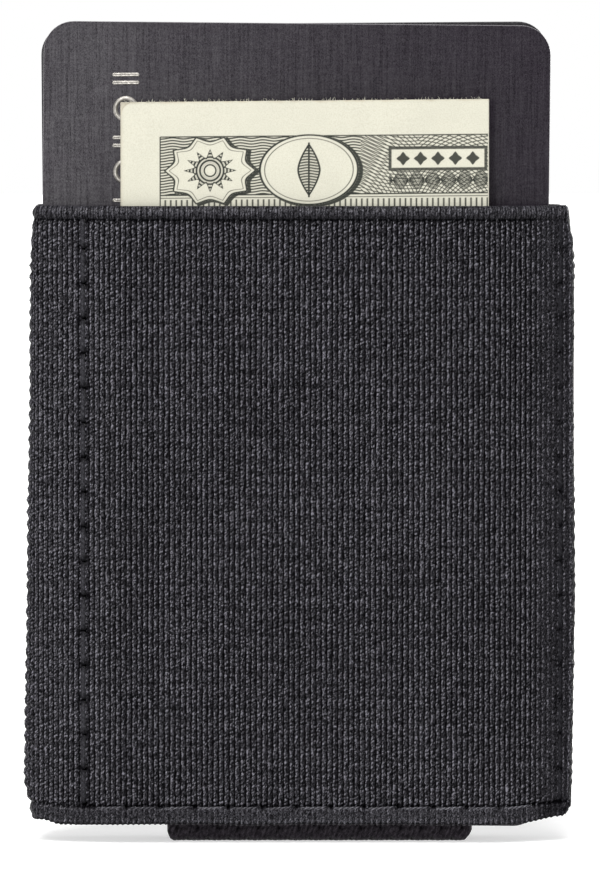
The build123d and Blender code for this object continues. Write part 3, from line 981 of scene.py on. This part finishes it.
def note_fibres():
    """Loose cotton fibres that stand out of the front layer's worn top edge."""
    draw = np.random.default_rng(SEED + 90)
    fibres = []
    for _ in range(FIBRES):
        across = draw.uniform(0.3, NOTE_WIDTH - 0.2)
        length = draw.uniform(0.12, 0.42)
        lean, bend = draw.uniform(-1.2, 1.2), draw.uniform(-0.8, 0.8)
        t = np.linspace(0, 1, 5)[:, None]
        x = note_x - NOTE_WIDTH / 2 + across + length * (np.sin(lean) * t + 0.4 * bend * t**2)
        z = note_top(across) - 0.14 + (length + 0.08) * np.cos(lean) * t
        y = note_front_y + PAPER * draw.uniform(0.1, 0.9) - 0.1 * length * t
        angle = -np.linspace(0, 2 * pi, 4, endpoint=False)[None, :]
        radius = FIBRE_RADIUS * (1 - 0.6 * t)
        ring = np.broadcast_arrays(x + radius * np.cos(angle), y + radius * np.sin(angle), z)
        fibres.append((np.stack(ring, axis=-1), {}))
    return swept_piece("note_fibres", *fibres)


class Engraving:
    """Ink on a grid of places: x from the note's left edge, z down from its top edge."""

    def __init__(self, x, z):
        self.x, self.z = x, z
        self.ink = np.zeros(np.broadcast(x, z).shape)
        waves = (z + 0.07 * np.sin(2 * pi * x / 2.4)) / HATCH_PITCH
        self.hatch = self.repeated(waves, HATCH_PITCH, 0.15)

    def line(self, distance, width):
        """Ink within half a width of where a distance is 0."""
        return np.clip(0.5 + (width / 2 - np.abs(distance)) / INK_EDGE, 0, 1)

    def inside(self, distance):
        """Ink where a distance to an outline is below 0."""
        return np.clip(0.5 - distance / INK_EDGE, 0, 1)

    def lobed(self, cx, cz, rx, rz, lobes=2, depth=0.0):
        """Distance to an ellipse whose outline is drawn in between lobes."""
        u, v = (self.x - cx) / rx, (self.z - cz) / rz
        reach = 1 - depth * np.abs(np.sin(lobes * np.arctan2(v, u) / 2))
        return (np.hypot(u, v) - reach) * min(rx, rz)

    def repeated(self, place, pitch, width):
        """Lines at every whole place."""
        return self.line((place - np.round(place)) * pitch, width)

    def rings(self, cx, cz, width):
        """Fine rings about a centre."""
        return self.repeated(np.hypot(self.x - cx, self.z - cz) / RING_PITCH, RING_PITCH, width)

    def put(self, value):
        np.maximum(self.ink, value, out=self.ink)

    def clear(self, distance):
        self.ink *= 1 - self.inside(distance)


def engrave_ground(art):
    """Wavy lines at the left, crossing rings at the right, swaying lines over them, and the borders."""
    x, z, put, line, rings = art.x, art.z, art.put, art.line, art.rings
    printed, laced = x > PRINT_LEFT, x >= LACE_LEFT
    main_band = (z > PRINT_TOP) & (z < PRINT_BORDER)
    put(art.hatch * main_band * printed * ~laced)
    lace = np.maximum(rings(22.4, 13.5, 0.1), rings(30.5, -3.5, 0.1))
    lace_right = np.maximum(rings(39.5, 14.0, 0.1), rings(31.0, 15.5, 0.1))
    put(np.where(x > 31.5, lace_right, lace) * main_band * laced)
    for turn in range(-6, 7):
        sway = 0.16 * turn * np.sin(2 * pi * (x - LACE_LEFT) / 3.4)
        put(line(z - PRINT_TOP - 4.8 - sway, 0.09) * (x >= LACE_LEFT + 3))
    put(line(x - PRINT_LEFT, 0.13) * (z > PRINT_TOP))
    for edge, width in ((PRINT_TOP, 0.13), (PRINT_BORDER, 0.14), (PRINT_BORDER + 0.3, 0.08)):
        put(line(z - edge, width) * printed)
    bars = np.clip((np.abs(x / 0.58 % 1 - 0.5) - 0.26) * 6, 0, 1)
    put(((z > PRINT_BORDER + 0.5) & (z < PRINT_BORDER + 1.7)) * printed * bars * 0.95)
    put((z > PRINT_BORDER + 1.9) * printed * art.hatch * 0.8)


def engrave_medallions(art):
    """A scalloped medallion with a star rosette, and an oval one with a leaf."""
    put, line, inside, lobed = art.put, art.line, art.inside, art.lobed
    middle = PRINT_TOP + 3.6
    for cx, rx, lobes, depth in ((ROSETTE_X, 4.9, 10, 0.16), (LEAF_X, 5.3, 2, 0.0)):
        put(inside(lobed(cx + 0.3, middle + 0.12, rx, 3.75, lobes, depth) - 0.12) * 0.96)
        outline = lobed(cx, middle, rx, 3.75, lobes, depth)
        art.clear(outline)
        put(line(outline + 0.06, 0.17))
        put(line(outline + 0.42, 0.07))
    across, up = art.x - LEAF_X, np.abs(art.z - middle)
    leaf = np.abs(across) - 1.15 * (1 - (up / 2.7) ** 1.6)
    put(inside(leaf) * np.maximum(art.hatch, 0.2))
    put(line(leaf, 0.2) * (up < 2.8))
    put(line(across, 0.2) * (up < 2.9))
    rosette = lobed(ROSETTE_X, middle, 2.7, 2.2, 12, 0.4)
    put(inside(rosette) * np.maximum(art.rings(ROSETTE_X, middle, 0.2), 0.2))
    put(line(rosette, 0.18))
    art.clear(lobed(ROSETTE_X, middle, 0.8, 0.8))
    put(line(lobed(ROSETTE_X, middle, 0.62, 0.62), 0.16))


def engrave_plaque(art):
    """A framed plaque with a row of gems."""
    middle = PRINT_TOP + 2.5
    plaque = np.maximum(np.abs(art.x - 33.6) - 4.9, np.abs(art.z - middle) - 0.95)
    art.put(art.inside(plaque - 0.35) * 0.9)
    art.clear(plaque - 0.02)
    for cx in np.arange(29.9, 38.0, 1.85):
        art.put(art.inside(art.lobed(cx, middle, 0.72, 0.72, 4, 0.35)) * 0.95)


def note_ink(x, z):
    """How much ink is on the paper; below the band that shows at rest are plain swelling upright lines."""
    art = Engraving(x, z)
    engrave_ground(art)
    engrave_medallions(art)
    engrave_plaque(art)
    swell = 0.13 + 0.07 * np.sin(2 * pi * z / 17.0) * np.sin(2 * pi * x / 9.0)
    uprights = art.repeated(x / UPRIGHT_PITCH, UPRIGHT_PITCH, swell) * (x > PRINT_LEFT)
    return np.clip(np.where(z > BAND_END, uprights, art.ink), 0, 1)


def folded_path(x_fine, x_coarse, pitch):
    """The middle line of the paper in plan, to and fro through its layers, from the front to the back."""
    front = note_front_y + PAPER / 2
    path_x, path_y = [x_fine], [np.full(len(x_fine), front)]
    turn = np.linspace(-pi / 2, pi / 2, 7)[1:-1]
    for layer in range(1, NOTE_LAYERS):
        y = front + pitch * layer
        edge, way = (NOTE_WIDTH, 1) if layer % 2 == 1 else (0.0, -1)
        path_x += [edge + way * pitch / 2 * np.cos(turn), x_coarse[::-way]]
        path_y += [y - pitch / 2 + pitch / 2 * np.sin(turn), np.full(len(x_coarse), y)]
    return np.concatenate(path_x), np.concatenate(path_y)


def note_mesh():
    """Layers of paper, folded back and forth; the front layer is finely divided to carry the print."""
    pitch = (note_high.y - NOTE_SLACK - note_front_y - PAPER) / (NOTE_LAYERS - 1)
    z_rows = np.concatenate([np.arange(0, PRINT_DEPTH, PRINT_STEP), np.linspace(13.2, NOTE_HEIGHT, 40)])
    x_fine = np.arange(0, NOTE_WIDTH + 0.01, PRINT_STEP)
    x_coarse = np.concatenate([np.linspace(0, 1.3, 14), np.linspace(2.3, NOTE_WIDTH, 37)])
    x, y = folded_path(x_fine, x_coarse, pitch)
    tangent = np.stack([np.gradient(x), np.gradient(y)], axis=1)
    tangent /= np.linalg.norm(tangent, axis=1)[:, None]
    normal = np.stack([tangent[:, 1], -tangent[:, 0]], axis=1)
    ring_x = np.concatenate([x + normal[:, 0] * PAPER / 2, (x - normal[:, 0] * PAPER / 2)[::-1]])
    ring_y = np.concatenate([y + normal[:, 1] * PAPER / 2, (y - normal[:, 1] * PAPER / 2)[::-1]])
    flat_x = np.concatenate([x, x[::-1]])
    printed = np.arange(len(flat_x)) < len(x_fine)

    fray = 0.05 * smooth_noise(SEED + 60, flat_x / 0.35, ring_y / 0.1)
    fray = fray + 0.07 * smooth_noise(SEED + 61, flat_x / 1.7, ring_y / 0.13)
    cut = np.clip(CORNER_RADIUS - flat_x, 0, CORNER_RADIUS)
    corner = (CORNER_RADIUS - np.sqrt(CORNER_RADIUS**2 - cut**2)) * (ring_y < note_front_y + PAPER + 0.05)
    down, across = np.broadcast_arrays(z_rows[:, None], flat_x[None, :])
    drop = (np.abs(fray) + corner)[None, :] * np.clip(1 - down / 2.5, 0, 1)
    curl = 0.12 * smooth_noise(SEED + 62, across / 9.0, down / 9.0) * np.clip(1 - down / 12, 0, 1)
    points = np.empty((*down.shape, 3))
    points[..., 0] = note_x + (ring_x - NOTE_WIDTH / 2) * cos(NOTE_TILT)
    points[..., 1] = ring_y + curl
    points[..., 2] = note_top(ring_x) - down - drop
    ink = note_ink(across, down) * printed
    wear = 0.75 * bump(down, 0.16) * (0.6 + 0.4 * smooth_noise(SEED + 63, flat_x / 0.8))
    wear = np.clip(wear + 0.3 * bump(across, 0.2), 0, 1)
    return swept_piece("folded_note", (points[::-1], {"ink": ink[::-1], "wear": wear[::-1]}))


# ---- the studio
CAMERA_ELEVATION = radians(3.0)
CAMERA_DISTANCE = 900.0
VIEW_CENTRE = (0.1, 0.0, 42.7)
VIEW_HEIGHT = 94.4  # what the picture's height takes in
SENSOR = 36.0
CLIP = 0.05, 20  # metres
ROOM_LIGHT = 0.45  # the white room's strength as a light; it is seen as plain white
KEY_FROM, KEY_POWER = (-0.12, -0.72, 0.8), 3.9
BACK_FROM, BACK_POWER = (0.7, 1.0, 0.3), 2.4  # it throws no shadow, and shows the wallet's back
SUN_SOFTNESS = 36.0  # degrees
FLOOR_HALF = 3000
FLOOR_GLOW = 0.46  # the floor is opal acrylic lit from below, so its shadows stay pale
SIDE_LIGHT_AT, SIDE_LIGHT_AIM = (-64, -300, 86), (0, 0, 70)  # it fades from left to right over the cards
SIDE_LIGHT_SIZE, SIDE_LIGHT_POWER = 56, 0.235


def add_floor():
    """A wide opal floor that glows."""
    corners = [(x, y, 0) for x in (-FLOOR_HALF, FLOOR_HALF) for y in (-FLOOR_HALF, FLOOR_HALF)]
    floor = new_piece("floor", corners, np.array([[0, 2, 3, 1]]))
    nodes = Nodes(bpy.data.materials.new("floor"))
    nodes.set(Base_Color=(0.7, 0.7, 0.7), Roughness=0.9, Specular_IOR_Level=0.0)
    nodes.set(Emission_Color=(1.0, 1.0, 1.0), Emission_Strength=FLOOR_GLOW)
    floor.data.materials.append(nodes.owner)


def add_room():
    """White all round."""
    nodes = Nodes(bpy.data.worlds.new("studio"), "Background")
    seen = nodes.node("LightPath")["Is Camera Ray"]
    nodes.set(Color=(1, 1, 1), Strength=nodes.span(seen, 0.0, 1.0, ROOM_LIGHT, 1.0))
    bpy.context.scene.world = nodes.owner


def add_light(name, kind, power, toward, place=(0, 0, 0)):
    """A light that shines along a direction; returns its settings."""
    light = bpy.data.lights.new(name, kind)
    light.energy = power
    lamp = new_object(name, light)
    lamp.location = place
    lamp.rotation_euler = toward.to_track_quat("-Z", "Y").to_euler()
    return light


def add_camera():
    """A long lens, a little above the wallet's middle."""
    data = bpy.data.cameras.new("camera")
    data.sensor_width = SENSOR
    data.lens = SENSOR * CAMERA_DISTANCE / VIEW_HEIGHT
    data.clip_start, data.clip_end = CLIP
    camera = new_object("camera", data)
    back = Vector((0, -cos(CAMERA_ELEVATION), sin(CAMERA_ELEVATION)))
    camera.location = (Vector(VIEW_CENTRE) + back * CAMERA_DISTANCE) * MM
    camera.rotation_euler = (-back).to_track_quat("-Z", "Y").to_euler()
    bpy.context.scene.camera = camera
    bpy.context.scene.view_settings.view_transform = "Standard"


def build_studio():
    """Floor, room, lights and camera."""
    add_floor()
    add_room()
    key = add_light("key", "SUN", KEY_POWER, -Vector(KEY_FROM))
    back = add_light("back", "SUN", BACK_POWER, -Vector(BACK_FROM))
    key.angle = back.angle = radians(SUN_SOFTNESS)
    back.use_shadow = False
    side_at = Vector(SIDE_LIGHT_AT) * MM
    side = add_light("side", "AREA", SIDE_LIGHT_POWER, Vector(SIDE_LIGHT_AIM) * MM - side_at, side_at)
    side.size = SIDE_LIGHT_SIZE * MM
    add_camera()


build_sleeve()
build_seams()
build_strap()
build_cards()
build_note()
build_studio()
